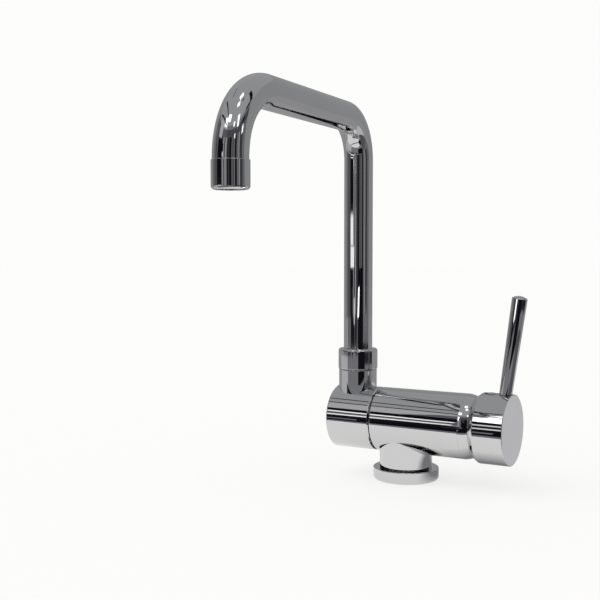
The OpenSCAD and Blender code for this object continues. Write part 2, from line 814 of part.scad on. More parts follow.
module lever_stem() {
    block_x = pivot_x - pin_d / 2 - stem_wall;
    finger_x = pivot_x - finger_arm;
    color(steel) on_barrel() difference() {
        union() {
            translate([0, 0, finger_x]) rotate([0, 90, 0])
                cylinder(h = finger_d, d = finger_d, center = true);
            translate([-finger_d / 2, -stem_neck_w / 2, finger_x])
                cube([finger_d, stem_neck_w, block_x - finger_x + over]);
            translate([-stem_w / 2, -stem_w / 2, block_x]) cube([stem_w, stem_w, stem_end - block_x]);
        }
        translate([0, 0, pivot_x]) rotate([0, 90, 0])
            cylinder(h = stem_w + over, r = pin_d / 2 + turn_gap, center = true);
    }
}

module cartridge_nut() {
    color(brass) on_barrel() difference() {
        union() {
            bar(thread_r - joint_gap, shoulder_x, body_right - loose_gap);
            bar(dome_thread_r, shoulder_x, nut_top);
        }
        bar(neck_r + bay_gap, shoulder_x - over, nut_top + over);
        translate([0, 0, body_right - nut_key_sink])
            cylinder(h = nut_top, r = (neck_r + bay_gap) / cos(30), $fn = 6);
    }
}

module dome_ring() {
    color(chrome) on_barrel() rotate_extrude() {
        difference() {
            intersection() {
                translate([0, pivot_x]) circle(dome_r);
                ring_section(mouth_r, body_r + over, body_right, pivot_x + dome_r);
            }
            translate([0, pivot_x]) circle(dome_in_r);
        }
        ring_section(dome_thread_r + joint_gap, dome_in_r, body_right, nut_top);
    }
}

module lever_hub() {
    socket_w = stem_w + 2 * joint_gap;
    color(chrome) difference() {
        on_barrel() rotate_extrude() {
            difference() {
                polygon([
                    [0, hub_left], [hub_lip_r, hub_left], [hub_r, hub_left + hub_slope],
                    [hub_r, hub_right - edge_bevel], [hub_r - edge_bevel, hub_right], [0, hub_right]
                ]);
                intersection() {
                    translate([0, pivot_x]) circle(hub_cave_r);
                    ring_section(0, hub_r, pivot_x, hub_floor);
                }
            }
            ring_section(0, sleeve_r, plug_x - grub_d / 2 - sleeve_rim, hub_floor);
        }
        on_barrel() translate([-socket_w / 2, -socket_w / 2, pivot_x])
            cube([socket_w, socket_w, stem_end - pivot_x + joint_gap]);
        translate([plug_x, 0, axis_h]) {
            bar(grub_d / 2 + joint_gap, 0, hub_r);
            bar(plug_d / 2 + joint_gap, hub_r - plug_sink, hub_r + over);
        }
        on_lever() {
            bar(lever_root_d / 2 + joint_gap, -lever_seat, hub_r);
            bar(lever_thread_d / 2 + joint_gap, -lever_seat - lever_thread_len - tip_gap, 0);
        }
    }
}

module pin_lever() {
    root_r = lever_root_d / 2;
    tip_r = lever_tip_d / 2;
    color(chrome) on_lever() rotate_extrude() intersection() {
        union() {
            polygon([
                [0, -lever_seat], [root_r, -lever_seat], [root_r, 0], [tip_r, lever_len], [0, lever_len]
            ]);
            ring_section(0, lever_thread_d / 2, -lever_seat - lever_thread_len, 0);
        }
        union() {
            translate([0, lever_len - lever_dome]) circle(lever_dome);
            ring_section(0, tip_r + root_r, -hub_r, lever_len - lever_dome);
        }
    }
}

module grub_screw() {
    foot = stem_w / 2 + joint_gap;
    color(steel) translate([plug_x, 0, axis_h]) difference() {
        bar(grub_d / 2, foot, foot + grub_len);
        translate([0, 0, foot + grub_len - grub_key_depth])
            cylinder(h = grub_len, d = grub_key / cos(30), $fn = 6);
    }
}

// Plug with a domed top whose edge meets the hub's curve at its sides
module hub_plug() {
    r = plug_d / 2;
    edge = sqrt(pow(hub_r, 2) - pow(r, 2));
    rise = hub_r + plug_rise - edge;
    dome = (pow(r, 2) + pow(rise, 2)) / (2 * rise);
    color(chrome) translate([plug_x, 0, axis_h]) rotate_extrude() intersection() {
        ring_section(0, r, hub_r - plug_sink, hub_r + over);
        translate([0, hub_r + plug_rise - dome]) circle(dome);
    }
}

base_flange();
base_gasket();
tap_body();
fold_axle();
axle_seals();
thrust_washer();
fold_stop_pin();
retaining_washer();
retaining_screw();
head_end_cap();
fold_head();
spout_nut();
spout_spigot();
spout_seals();
slip_ring();
spout_tube();
outlet_bush();
aerator_housing();
aerator_washer();
aerator_insert();
cartridge_base();
port_seals();
fixed_disc();
moving_disc();
disc_carrier();
cartridge_housing();
cartridge_turret();
stem_pin();
lever_stem();
cartridge_nut();
dome_ring();
lever_hub();
pin_lever();
grub_screw();
hub_plug();
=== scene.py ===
# %% [markdown]
# A folding tap in polished chrome
#
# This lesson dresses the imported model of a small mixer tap. The model gives every piece its size and
# its place, so the work here is the finish: rounder edges, plating that mirrors a room, and light.
# The tap's lengths are written in millimetres, as on a drawing, and `MM` turns them into Blender's
# metres. The camera and the room stand further off, so their lengths are written in metres.

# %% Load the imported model
import json
import math

import bmesh
import bpy
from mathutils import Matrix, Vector


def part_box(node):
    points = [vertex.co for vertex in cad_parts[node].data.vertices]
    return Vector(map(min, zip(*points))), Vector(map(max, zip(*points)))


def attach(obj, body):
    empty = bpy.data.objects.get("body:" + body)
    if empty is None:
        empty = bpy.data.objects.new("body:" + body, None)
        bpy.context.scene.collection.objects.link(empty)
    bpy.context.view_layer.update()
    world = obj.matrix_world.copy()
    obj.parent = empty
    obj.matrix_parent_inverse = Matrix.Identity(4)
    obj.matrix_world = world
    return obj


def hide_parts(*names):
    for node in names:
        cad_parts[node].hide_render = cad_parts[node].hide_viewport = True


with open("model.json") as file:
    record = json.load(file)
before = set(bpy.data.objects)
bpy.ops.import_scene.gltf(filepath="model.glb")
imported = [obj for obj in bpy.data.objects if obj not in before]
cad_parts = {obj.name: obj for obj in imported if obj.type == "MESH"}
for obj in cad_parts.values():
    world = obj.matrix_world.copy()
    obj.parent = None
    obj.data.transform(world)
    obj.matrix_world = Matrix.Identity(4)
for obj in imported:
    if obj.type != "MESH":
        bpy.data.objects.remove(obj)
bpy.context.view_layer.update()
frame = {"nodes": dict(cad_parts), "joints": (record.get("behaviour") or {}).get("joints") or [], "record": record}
MM = 0.001
body_of_node = {}
for body_name, node_names in frame["record"]["behaviour"]["bodies"].items():
    for node_name in node_names:
        body_of_node[node_name] = body_name

# %% [markdown]
# Places from the model
#
# Where a piece starts and ends is read from the box of its node, and the axes that things turn on are
# read from the joints, so nothing is measured twice. A box is stored with few digits, so a station is
# rounded to a hundredth of a millimetre. Radii are written below, because a box of a round piece that
# is drawn in flat facets falls a little short of them.

# %% Stations and axes
X = 0
Z = 2


def station(metres):
    """A place along an axis in millimetres, without the noise of its last digits."""
    return round(metres / MM, 2)


def low(node, axis):
    """Where a node of the model starts along X or Z."""
    return station(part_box(node)[0][axis])


def high(node, axis):
    """Where a node of the model ends along X or Z."""
    return station(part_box(node)[1][axis])


joint_place = {joint["name"]: joint.get("pos_m") for joint in frame["joints"]}
AXIS_H = station(joint_place["fold"][Z])
RISER_X = station(joint_place["swivel"][X])
PIVOT_X = station(joint_place["flow"][X])
CENTRE = Vector((0, 0, 0))
AXIS = Vector((0, 0, AXIS_H * MM))
RISER = Vector((RISER_X * MM, 0, 0))
print("axis height", AXIS_H, "riser at", RISER_X, "lever's pivot at", PIVOT_X)

# %% [markdown]
# Camera
#
# The viewpoint comes first, because every reflection is judged through it. The tap is seen a little
# from its lever side, from half-way up its upright tube, with a lens of about 60 mm, which keeps the
# tube straight and lets the arm run away from the eye.

# %% Camera
LENS = 60.39
SENSOR = 36
VIEWPOINT = (0.27554, -0.63408, 0.16156)
CAMERA_TILT = math.radians(86.8)
CAMERA_TURN = math.radians(29.56)
camera_data = bpy.data.cameras.new("camera")
camera_data.lens = LENS
camera_data.sensor_width = SENSOR
camera = bpy.data.objects.new("camera", camera_data)
bpy.context.scene.collection.objects.link(camera)
camera.location = VIEWPOINT
camera.rotation_euler = (CAMERA_TILT, 0, CAMERA_TURN)
bpy.context.scene.camera = camera
bpy.context.scene.view_settings.view_transform = "Standard"
print("camera at", VIEWPOINT, "lens", camera_data.lens)

# %% [markdown]
# Colours and nodes
#
# Colours are written as the hex values that a paint card would give. Cycles computes with linear
# light, so one function turns a hex value to linear. A second one adds a node, sets it and links it,
# which keeps each finish readable as a short list.

# %% Colour and node helpers
def linear(hex_colour):
    """The linear colour of an sRGB hex value such as #C8C9CB."""
    channels = [int(hex_colour[place:place + 2], 16) / 255 for place in (1, 3, 5)]
    curve = [c / 12.92 if c <= 0.04045 else ((c + 0.055) / 1.055) ** 2.4 for c in channels]
    return (*curve, 1)


def add_node(tree, kind, settings=None, **links):
    """Adds a node. A setting is an attribute or an input by name, and a link goes into a named input."""
    node = tree.nodes.new(kind)
    for name, value in (settings or {}).items():
        if hasattr(node, name):
            setattr(node, name, value)
        else:
            node.inputs[name].default_value = value
    for name, source in links.items():
        spare = [socket for socket in node.inputs if socket.name.replace(" ", "_") == name]
        tree.links.new(source, [socket for socket in spare if socket.enabled][0])
    return node


def per_metre(size_mm):
    """The scale at which a noise texture has features of that size."""
    return 1 / (size_mm * MM)


print("white is", linear("#FFFFFF"))

# %% [markdown]
# What all finishes share
#
# No real surface is one flat colour. Each finish here drifts between two shades over broad patches,
# its roughness drifts with them, and a second noise gives it a shallow relief. Both noises read the
# object's own coordinates, so their features have a real size on the piece.

# %% Finish helper
# Places of the colour sockets among the sockets of a Mix node
MIX_FIRST = 6
MIX_SECOND = 7
MIX_RESULT = 2


def drifting_finish(name, colours, dulling, patch, grain, relief_mm, metallic):
    """A material whose colour and roughness drift over patches, with a relief from a grain.

    patch and grain are each the size of a noise in millimetres and its detail, and dulling holds
    the settings that turn the patches into a roughness.
    """
    finish = bpy.data.materials.new(name)
    finish.use_nodes = True
    tree = finish.node_tree
    shader = tree.nodes["Principled BSDF"]
    shader.inputs["Metallic"].default_value = metallic
    place = add_node(tree, "ShaderNodeTexCoord").outputs["Object"]
    noises = []
    for size_mm, detail in (patch, grain):
        settings = {"Scale": per_metre(size_mm), "Detail": detail}
        noises.append(add_node(tree, "ShaderNodeTexNoise", settings, Vector=place).outputs["Fac"])
    tint = add_node(tree, "ShaderNodeMix", {"data_type": "RGBA"}, Factor=noises[0])
    tint.inputs[MIX_FIRST].default_value = linear(colours[0])
    tint.inputs[MIX_SECOND].default_value = linear(colours[1])
    dulled = add_node(tree, "ShaderNodeMapRange", dulling, Value=noises[0])
    relief = add_node(tree, "ShaderNodeBump", {"Strength": 1, "Distance": relief_mm * MM}, Height=noises[1])
    tree.links.new(tint.outputs[MIX_RESULT], shader.inputs["Base Color"])
    tree.links.new(dulled.outputs["Result"], shader.inputs["Roughness"])
    tree.links.new(relief.outputs["Normal"], shader.inputs["Normal"])
    print("finish", name)
    return finish


# %% [markdown]
# Chrome plate
#
# Taps are cast or drawn in brass, polished on wheels, then plated with nickel and a thin coat of
# chromium. The eye gets a grey mirror that returns a little more than half of the light. It is never
# a perfect mirror: the polishing wheel leaves long shallow waves, about a centimetre apart, that bend
# straight reflections, and a film from fingers and water makes some patches a shade duller.

# %% Chrome plate
FILM_PATCH = (28, 4)
POLISH_WAVES = (11, 1)
POLISH_WAVE_H = 0.012
FILM_DULLING = {"From Min": 0.35, "From Max": 0.75, "To Min": 0.025, "To Max": 0.07}
finishes = {}
finishes["chrome"] = drifting_finish(
    "polished_chrome_plate", ("#CBCBCC", "#D3D3D3"), FILM_DULLING, FILM_PATCH, POLISH_WAVES, POLISH_WAVE_H,
    metallic=1,
)

# %% [markdown]
# The hidden finishes
#
# Inside the tap there is turned brass, turned steel, moulded rubber, moulded plastic and lapped
# ceramic. They show only through the outlet and from below, but a part that is taken apart should
# look right too. Each has its own shades, its own roughness and a fine relief: cutting marks on the
# metals, moulding grain on the plastics. The grain is drawn a little coarser than it is, so that it shows.

# %% Hidden finishes
SHADE_PATCH = (9, 3)
GRAIN_DETAIL = 2
ROUGHNESS_DRIFT = 0.2
for slot, name, colours, roughness, metallic, grain_mm, relief_mm in (
    ("brass", "turned_brass", ("#C79F55", "#B98F45"), 0.28, 1, 0.5, 0.01),
    ("steel", "turned_stainless_steel", ("#95979A", "#85878B"), 0.3, 1, 0.4, 0.01),
    ("rubber", "moulded_nitrile_rubber", ("#1A1A1C", "#242426"), 0.7, 0, 0.6, 0.02),
    ("grey_plastic", "moulded_grey_acetal", ("#A3A7AB", "#989CA0"), 0.42, 0, 0.5, 0.01),
    ("white_plastic", "moulded_white_acetal", ("#E3E3DF", "#DAD9D4"), 0.4, 0, 0.5, 0.01),
    ("black_plastic", "moulded_black_acetal", ("#232325", "#2B2B2D"), 0.4, 0, 0.5, 0.01),
    ("ceramic", "lapped_alumina", ("#EFECE3", "#E7E3D9"), 0.18, 0, 0.3, 0.004),
):
    dulling = {"To Min": roughness * (1 - ROUGHNESS_DRIFT), "To Max": roughness * (1 + ROUGHNESS_DRIFT)}
    grain = (grain_mm, GRAIN_DETAIL)
    finishes[slot] = drifting_finish(name, colours, dulling, SHADE_PATCH, grain, relief_mm, metallic)
for node_object in frame["nodes"].values():
    for material_slot in node_object.material_slots:
        material_slot.material = finishes[material_slot.material.name.split(".")[0]]

# %% [markdown]
# Turning a piece
#
# Most of the tap is turned on a lathe, so most pieces here are made as on a lathe: half of the section
# is drawn point by point, its corners are rounded, and the outline is spun round its axis. A point is
# written as (along the axis, radius) with a third number where the corner has a rounding. Drawing
# starts from a plane that is merged to one vertex, because Blender has no primitive for a lone point.

# %% Lathes
SIDES = 192
SMALL_SIDES = 96
FULL_TURN = 2 * math.pi
QUARTER = math.radians(90)
ALONG_X = Vector((1, 0, 0))
ALONG_Y = Vector((0, 1, 0))
ALONG_Z = Vector((0, 0, 1))
BARREL = (AXIS, ALONG_X, ALONG_Z)


def upright(place):
    """A lathe that stands upright: a point of its axis, the axis, and the side of the section."""
    return place, ALONG_Z, ALONG_X


print("the barrel turns about", tuple(AXIS))

# %% Drawing helpers
SAME_PLACE = 0.0001 * MM


def alone(piece):
    """Selects that piece and nothing else."""
    bpy.ops.object.select_all(action="DESELECT")
    piece.select_set(True)
    bpy.context.view_layer.objects.active = piece


def select_point(piece, place):
    """Selects the vertex of the edited mesh that lies at that place."""
    drawn = bmesh.from_edit_mesh(piece.data)
    bpy.ops.mesh.select_all(action="DESELECT")
    for vertex in drawn.verts:
        vertex.select_set((vertex.co - place).length < SAME_PLACE)
    bmesh.update_edit_mesh(piece.data)


def draw_line(name, places):
    """Draws a chain of edges through those places, and leaves it in edit mode."""
    bpy.ops.object.select_all(action="DESELECT")
    bpy.ops.mesh.primitive_plane_add(size=MM, location=(0, 0, 0))
    piece = bpy.context.object
    piece.name = name
    piece.data.name = name
    bpy.ops.object.mode_set(mode="EDIT")
    bpy.ops.mesh.select_mode(type="VERT")
    bpy.ops.mesh.select_all(action="SELECT")
    bpy.ops.mesh.merge(type="CENTER")
    bpy.ops.transform.translate(value=places[0])
    for before, after in zip(places, places[1:]):
        bpy.ops.mesh.extrude_vertices_move(TRANSFORM_OT_translate={"value": after - before})
    return piece


# %% Turning helper
ROUND_STEPS = 5
MERGED = 0.0005 * MM


def close_mesh():
    """Merges what a spin left double, turns the faces outwards and leaves edit mode."""
    bpy.ops.mesh.select_all(action="SELECT")
    bpy.ops.mesh.remove_doubles(threshold=MERGED)
    bpy.ops.mesh.normals_make_consistent(inside=False)
    bpy.ops.object.mode_set(mode="OBJECT")


def turned(name, section, lathe, sides=SIDES, angle=FULL_TURN):
    """Spins a section on a lathe. Part of a turn makes a solid segment from a closed section."""
    origin, axis, across = lathe
    places = [origin + axis * point[0] * MM + across * point[1] * MM for point in section]
    piece = draw_line(name, places)
    for place, point in zip(places, section):
        if len(point) == 3:
            select_point(piece, place)
            bpy.ops.mesh.bevel(affect="VERTICES", offset=point[2] * MM, segments=ROUND_STEPS)
    bpy.ops.mesh.select_all(action="SELECT")
    if angle < FULL_TURN:
        bpy.ops.mesh.edge_face_add()
    bpy.ops.mesh.spin(steps=sides, angle=angle, center=origin, axis=axis)
    close_mesh()
    return piece


# %% [markdown]
# Finishing a piece
#
# Chrome shows the smallest error in a surface. Smooth shading alone bends the reflection on a long
# straight face next to a small rounding, because both share the normals on their common edge. The
# Weighted Normal modifier gives those normals to the larger face, so straight faces stay straight.
# The piece then takes its node's place in the model: same body, same finish.

# %% Finishing helper
SMOOTH_UNDER = math.radians(32)


def finish_piece(piece, node, slot="chrome"):
    """Shades a piece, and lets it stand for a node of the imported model."""
    alone(piece)
    bpy.ops.object.shade_smooth_by_angle(angle=SMOOTH_UNDER)
    normals = piece.modifiers.new("straight_faces", "WEIGHTED_NORMAL")
    normals.keep_sharp = True
    bpy.ops.object.modifier_apply(modifier=normals.name)
    piece.data.materials.clear()
    piece.data.materials.append(finishes[slot])
    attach(piece, body_of_node[node])
    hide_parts(node)
    print(piece.name, "faces", len(piece.data.polygons), "for", node)


# %% Joining and drilling
OVER = 1


def combine(piece, other, operation):
    """Joins another solid to a piece or cuts it out, and deletes it."""
    alone(piece)
    step = piece.modifiers.new(operation.lower(), "BOOLEAN")
    step.operation = operation
    step.solver = "EXACT"
    step.object = other
    bpy.ops.object.modifier_apply(modifier=step.name)
    bpy.data.objects.remove(other)


def drill(piece, lathe, radius, start, end):
    """Cuts a round hole along a lathe's axis, from one station to another."""
    section = [(start, 0), (start, radius), (end, radius), (end, 0)]
    combine(piece, turned("drill", section, lathe, SMALL_SIDES), "DIFFERENCE")


# %% [markdown]
# Roundings and fits
#
# A polished edge is never sharp, and its rounding is what catches the light. Edges that meet in a seam
# stay crisp, and edges that a hand touches are broader. Fits are the gaps between neighbouring pieces.

# %% Roundings and fits
CRISP = 0.15
FINE = 0.2
SEAM_ROUND = 0.25
EDGE = 0.3
SOFT = 0.4
BROAD = 0.6
FIT = 0.03
PASS_GAP = 0.35
TIP_GAP = 0.2
print("roundings from", CRISP, "to", BROAD, "mm")

# %% [markdown]
# Foot
#
# The round foot is a turned ring with a soft upper edge and a larger rounding where it meets the
# worktop. A groove in its underside holds a rubber ring that keeps water out of the worktop's hole.

# %% Foot
FLANGE_R = 22.5
FLANGE_H = high("base_flange", Z)
FLANGE_FOOT_ROUND = 2.3
SPIGOT_R = 15
GROOVE_IN = 16.3
GROOVE_OUT = 18.76
GASKET_H = high("base_gasket", Z)
foot = turned("foot", [
    (0, SPIGOT_R + FIT), (0, GROOVE_IN), (GASKET_H, GROOVE_IN), (GASKET_H, GROOVE_OUT),
    (0, GROOVE_OUT, EDGE), (0, FLANGE_R, FLANGE_FOOT_ROUND), (FLANGE_H, FLANGE_R, BROAD),
    (FLANGE_H, SPIGOT_R + FIT), (0, SPIGOT_R + FIT),
], upright(CENTRE))
finish_piece(foot, "base_flange")

# %% Foot's gasket
GASKET_ROUND = 0.5
gasket_in = GROOVE_IN + FIT
gasket_out = GROOVE_OUT - FIT
gasket = turned("foot_gasket", [
    (GASKET_H / 2, gasket_in), (0, gasket_in, GASKET_ROUND), (0, gasket_out, GASKET_ROUND),
    (GASKET_H, gasket_out, GASKET_ROUND), (GASKET_H, gasket_in, GASKET_ROUND), (GASKET_H / 2, gasket_in),
], upright(CENTRE))
finish_piece(gasket, "base_gasket", "rubber")

# %% [markdown]
# Body
#
# The body is one brass casting: a barrel along X on a short column. Both are turned here and joined
# with a Boolean, then the bores that the cartridge and the axle need are drilled, and the threaded
# holes for the hoses and the stud, which the model lists as mounts. Two holes in the barrel's left end
# take the stop pin at the ends of its travel. The quarter-turn groove that should join them is spun
# from a square on a lathe that points to -X, so it lies mirrored, in the wall of the cartridge's bay.

# %% Body
BODY_R = 21.85
BODY_LEFT = low("tap_body", X)
BODY_RIGHT = high("tap_body", X)
COLUMN_R = 17.9
SEAM_BEVEL = 0.8
body = turned("body", [
    (BODY_LEFT, 0), (BODY_LEFT, BODY_R - SEAM_BEVEL, CRISP), (BODY_LEFT + SEAM_BEVEL, BODY_R, SEAM_ROUND),
    (BODY_RIGHT, BODY_R, EDGE), (BODY_RIGHT, 0),
], BARREL)
column = turned("column", [
    (0, 0), (0, SPIGOT_R, EDGE), (FLANGE_H, SPIGOT_R), (FLANGE_H, COLUMN_R, FINE),
    (AXIS_H, COLUMN_R), (AXIS_H, 0),
], upright(CENTRE))
combine(body, column, "UNION")
print("barrel and column joined, faces", len(body.data.polygons))

# %% Bores of the body
BAY_R = 17.7
BAY_FLOOR = low("cartridge_base", X)
NUT_THREAD_R = 19
THREAD_RUNOUT = 0.4
AXLE_ROOT_R = 10.5
AXLE_ROOM = 2
THRUST_R = 14.95
drill(body, BARREL, BAY_R, BAY_FLOOR, BODY_RIGHT + OVER)
drill(body, BARREL, NUT_THREAD_R, low("cartridge_nut", X) - THREAD_RUNOUT, BODY_RIGHT + OVER)
drill(body, BARREL, AXLE_ROOT_R + FIT, BODY_LEFT - OVER, high("fold_axle", X) + AXLE_ROOM)
drill(body, BARREL, THRUST_R, BODY_LEFT - OVER, high("thrust_washer", X))
for mount in frame["record"]["mounts"]:
    if mount["kind"] == "threaded_hole":
        hole = Vector((*mount["pos_m"][:2], 0))
        drill(body, upright(hole), mount["dims"]["r_mm"], -OVER, mount["dims"]["length_mm"])
        print("hole for", mount["name"])

# %% Groove of the stop pin
STOP_R = 17.95
STOP_PIN_R = 1.25
GROOVE_SIDES = 48
groove_half = STOP_PIN_R + PASS_GAP
groove_end = high("fold_stop_pin", X) + PASS_GAP
groove = turned("groove", [
    (BODY_LEFT - OVER, STOP_R - groove_half), (groove_end, STOP_R - groove_half),
    (groove_end, STOP_R + groove_half), (BODY_LEFT - OVER, STOP_R + groove_half),
    (BODY_LEFT - OVER, STOP_R - groove_half),
], (AXIS, -ALONG_X, -ALONG_Z), GROOVE_SIDES, QUARTER)
combine(body, groove, "DIFFERENCE")
for groove_stop in (-ALONG_Z, ALONG_Y):
    stop_place = AXIS + groove_stop * STOP_R * MM
    drill(body, (stop_place, ALONG_X, ALONG_Z), groove_half, BODY_LEFT - OVER, groove_end)
finish_piece(body, "tap_body")

# %% [markdown]
# Folding head
#
# The head is turned like the barrel and carries an upright boss for the spout. Its bores follow the
# axle that it turns on, the water chamber round that axle, and the spout's spigot.

# %% Folding head
HEAD_LEFT = low("fold_head", X)
HEAD_RIGHT = high("fold_head", X)
BOSS_R = 13.25
BOSS_TOP = 74
THREAD_R = 12
THREAD_TOP = high("fold_head", Z)
head = turned("head", [
    (HEAD_LEFT, 0), (HEAD_LEFT, BODY_R - SEAM_BEVEL, SEAM_ROUND),
    (HEAD_LEFT + SEAM_BEVEL, BODY_R, SEAM_ROUND), (HEAD_RIGHT - SEAM_BEVEL, BODY_R, SEAM_ROUND),
    (HEAD_RIGHT, BODY_R - SEAM_BEVEL, CRISP), (HEAD_RIGHT, 0),
], BARREL)
boss = turned("boss", [
    (AXIS_H, 0), (AXIS_H, BOSS_R), (BOSS_TOP, BOSS_R, BROAD), (BOSS_TOP, THREAD_R),
    (THREAD_TOP, THREAD_R, SOFT), (THREAD_TOP, 0),
], upright(RISER))
combine(head, boss, "UNION")
print("head and boss joined, faces", len(head.data.polygons))

# %% Bores of the head
TURNING_HOLE_R = 10.05
CAP_R = 16
CHAMBER_R = 13
CHAMBER_HALF = 3
SPIGOT_ROOM = 1.2
drill(head, BARREL, TURNING_HOLE_R, HEAD_LEFT - OVER, HEAD_RIGHT + OVER)
drill(head, BARREL, CAP_R + FIT, HEAD_LEFT - OVER, low("fold_axle", X))
drill(head, BARREL, CHAMBER_R, RISER_X - CHAMBER_HALF, RISER_X + CHAMBER_HALF)
drill(head, upright(RISER), TURNING_HOLE_R, low("spout_spigot", Z) - SPIGOT_ROOM, THREAD_TOP + OVER)
pin_lathe = (AXIS - ALONG_Z * STOP_R * MM, ALONG_X, ALONG_Z)
drill(head, pin_lathe, STOP_PIN_R + FIT, low("fold_stop_pin", X) - TIP_GAP, HEAD_RIGHT + OVER)
finish_piece(head, "fold_head")

# %% [markdown]
# End cap and spout nut
#
# Two small turned pieces. The cap closes the head's left end. The nut holds the spout on its boss and
# has a rounded upper edge.

# %% End cap and spout nut
cap_inside = high("head_end_cap", X)
cap = turned("end_cap", [
    (HEAD_LEFT, 0), (HEAD_LEFT, CAP_R, SOFT), (cap_inside, CAP_R), (cap_inside, 0),
], BARREL)
finish_piece(cap, "head_end_cap")

TUBE_R = 10
NUT_R = 13.7
NUT_FOOT = low("spout_nut", Z)
NUT_TOP = high("spout_nut", Z)
NUT_LIP = 2.9
NUT_SEAM = 0.15
NUT_TOP_ROUND = 1.8
nut_shoulder = NUT_TOP - NUT_LIP
nut = turned("spout_nut_ring", [
    (NUT_TOP, TUBE_R + NUT_SEAM), (NUT_TOP, NUT_R, NUT_TOP_ROUND), (NUT_FOOT, NUT_R, BROAD),
    (NUT_FOOT, THREAD_R + FIT), (nut_shoulder, THREAD_R + FIT), (nut_shoulder, TUBE_R + NUT_SEAM),
    (NUT_TOP, TUBE_R + NUT_SEAM),
], upright(RISER))
finish_piece(nut, "spout_nut")

# %% [markdown]
# Spout
#
# The spout is drawn brass tube, bent twice on a former. It is made the same way here: a circle is
# extruded along the riser, spun round the first bend, extruded along the arm and spun again. Spin
# turns against the right-hand rule, so its axis points the other way. Solidify gives it its wall.

# %% Tube helpers
TUBE_FOOT = low("spout_tube", Z)
TUBE_WALL = 1
ARM_H = 247.3
REAR_BEND = 28
FRONT_BEND = 40.5
REACH = 185.6
DROP = 0.6
REST_TURN = math.radians(4.8)
TUBE_SIDES = 128
BEND_STEPS = 56
ahead = Vector((math.sin(REST_TURN), -math.cos(REST_TURN), 0))


def pull(step):
    """Extrudes the selected ring of the tube."""
    bpy.ops.mesh.extrude_region_move(TRANSFORM_OT_translate={"value": step * MM})


def bend(reach, radius):
    """Spins the selected ring round a quarter bend whose centre lies at that reach."""
    centre = RISER + (ALONG_Z * (ARM_H - radius) + ahead * reach) * MM
    bpy.ops.mesh.spin(steps=BEND_STEPS, angle=QUARTER, center=centre, axis=ahead.cross(ALONG_Z))


print("the arm points to", tuple(ahead))

# %% Spout
bpy.ops.object.select_all(action="DESELECT")
bpy.ops.mesh.primitive_circle_add(vertices=TUBE_SIDES, radius=TUBE_R * MM, location=(0, 0, 0))
spout = bpy.context.object
spout.name = "spout"
spout.data.name = "spout"
bpy.ops.object.mode_set(mode="EDIT")
bpy.ops.mesh.select_all(action="SELECT")
bpy.ops.transform.translate(value=RISER + ALONG_Z * TUBE_FOOT * MM)
pull(ALONG_Z * (ARM_H - REAR_BEND - TUBE_FOOT))
bend(REAR_BEND, REAR_BEND)
pull(ahead * (REACH - REAR_BEND - FRONT_BEND))
bend(REACH - FRONT_BEND, FRONT_BEND)
pull(ALONG_Z * -DROP)
close_mesh()
tube_wall = spout.modifiers.new("tube_wall", "SOLIDIFY")
tube_wall.thickness = TUBE_WALL * MM
tube_wall.offset = -1
alone(spout)
bpy.ops.object.modifier_apply(modifier=tube_wall.name)
finish_piece(spout, "spout_tube")

# %% [markdown]
# Aerator sleeve
#
# The sleeve at the outlet is thin-walled, with a lip under its insert. Its lower edge is well rounded,
# because that edge is seen from every side.

# %% Aerator sleeve
OUTLET = RISER + ahead * REACH * MM
SLEEVE_R = 10.6
SLEEVE_IN = 9.65
SLEEVE_TOP = high("aerator_housing", Z)
SLEEVE_FOOT = low("aerator_housing", Z)
SLEEVE_FOOT_ROUND = 2.1
LIP_R = 8.25
LIP_ROUND = 0.1
lip_top = low("aerator_insert", Z)
sleeve = turned("aerator_sleeve", [
    (SLEEVE_TOP, SLEEVE_IN), (SLEEVE_TOP, SLEEVE_R, EDGE), (SLEEVE_FOOT, SLEEVE_R, SLEEVE_FOOT_ROUND),
    (SLEEVE_FOOT, LIP_R, LIP_ROUND), (lip_top, LIP_R), (lip_top, SLEEVE_IN), (SLEEVE_TOP, SLEEVE_IN),
], upright(OUTLET))
finish_piece(sleeve, "aerator_housing")

# %% [markdown]
# Domed ring and lever hub
#
# The hub tilts about a point inside the barrel, so the ring under it is part of a ball about that
# point, and the hub is hollowed as a ball that is a little larger. Both sections are drawn with short
# steps along their arcs.

# %% Domed ring
DOME_R = 22.07
DOME_IN_R = 19.47
MOUTH_R = 16.15
RING_THREAD_R = 17.13
RING_THREAD_END = high("cartridge_nut", X)
ARC_STEPS = 24


def arc(radius, from_x, to_x):
    """Points of a section on a ball about the pivot, between two stations."""
    first = math.acos((from_x - PIVOT_X) / radius)
    last = math.acos((to_x - PIVOT_X) / radius)
    turns = [first + (last - first) * step / ARC_STEPS for step in range(ARC_STEPS + 1)]
    return [(PIVOT_X + radius * math.cos(turn), radius * math.sin(turn)) for turn in turns]


dome_end = PIVOT_X + math.sqrt(DOME_R ** 2 - MOUTH_R ** 2)
dome_in_end = PIVOT_X + math.sqrt(DOME_IN_R ** 2 - MOUTH_R ** 2)
dome = turned("domed_ring", [
    (BODY_RIGHT, RING_THREAD_R), *arc(DOME_R, BODY_RIGHT, dome_end),
    *arc(DOME_IN_R, dome_in_end, RING_THREAD_END),
    (RING_THREAD_END, RING_THREAD_R), (BODY_RIGHT, RING_THREAD_R),
], BARREL)
finish_piece(dome, "dome_ring")

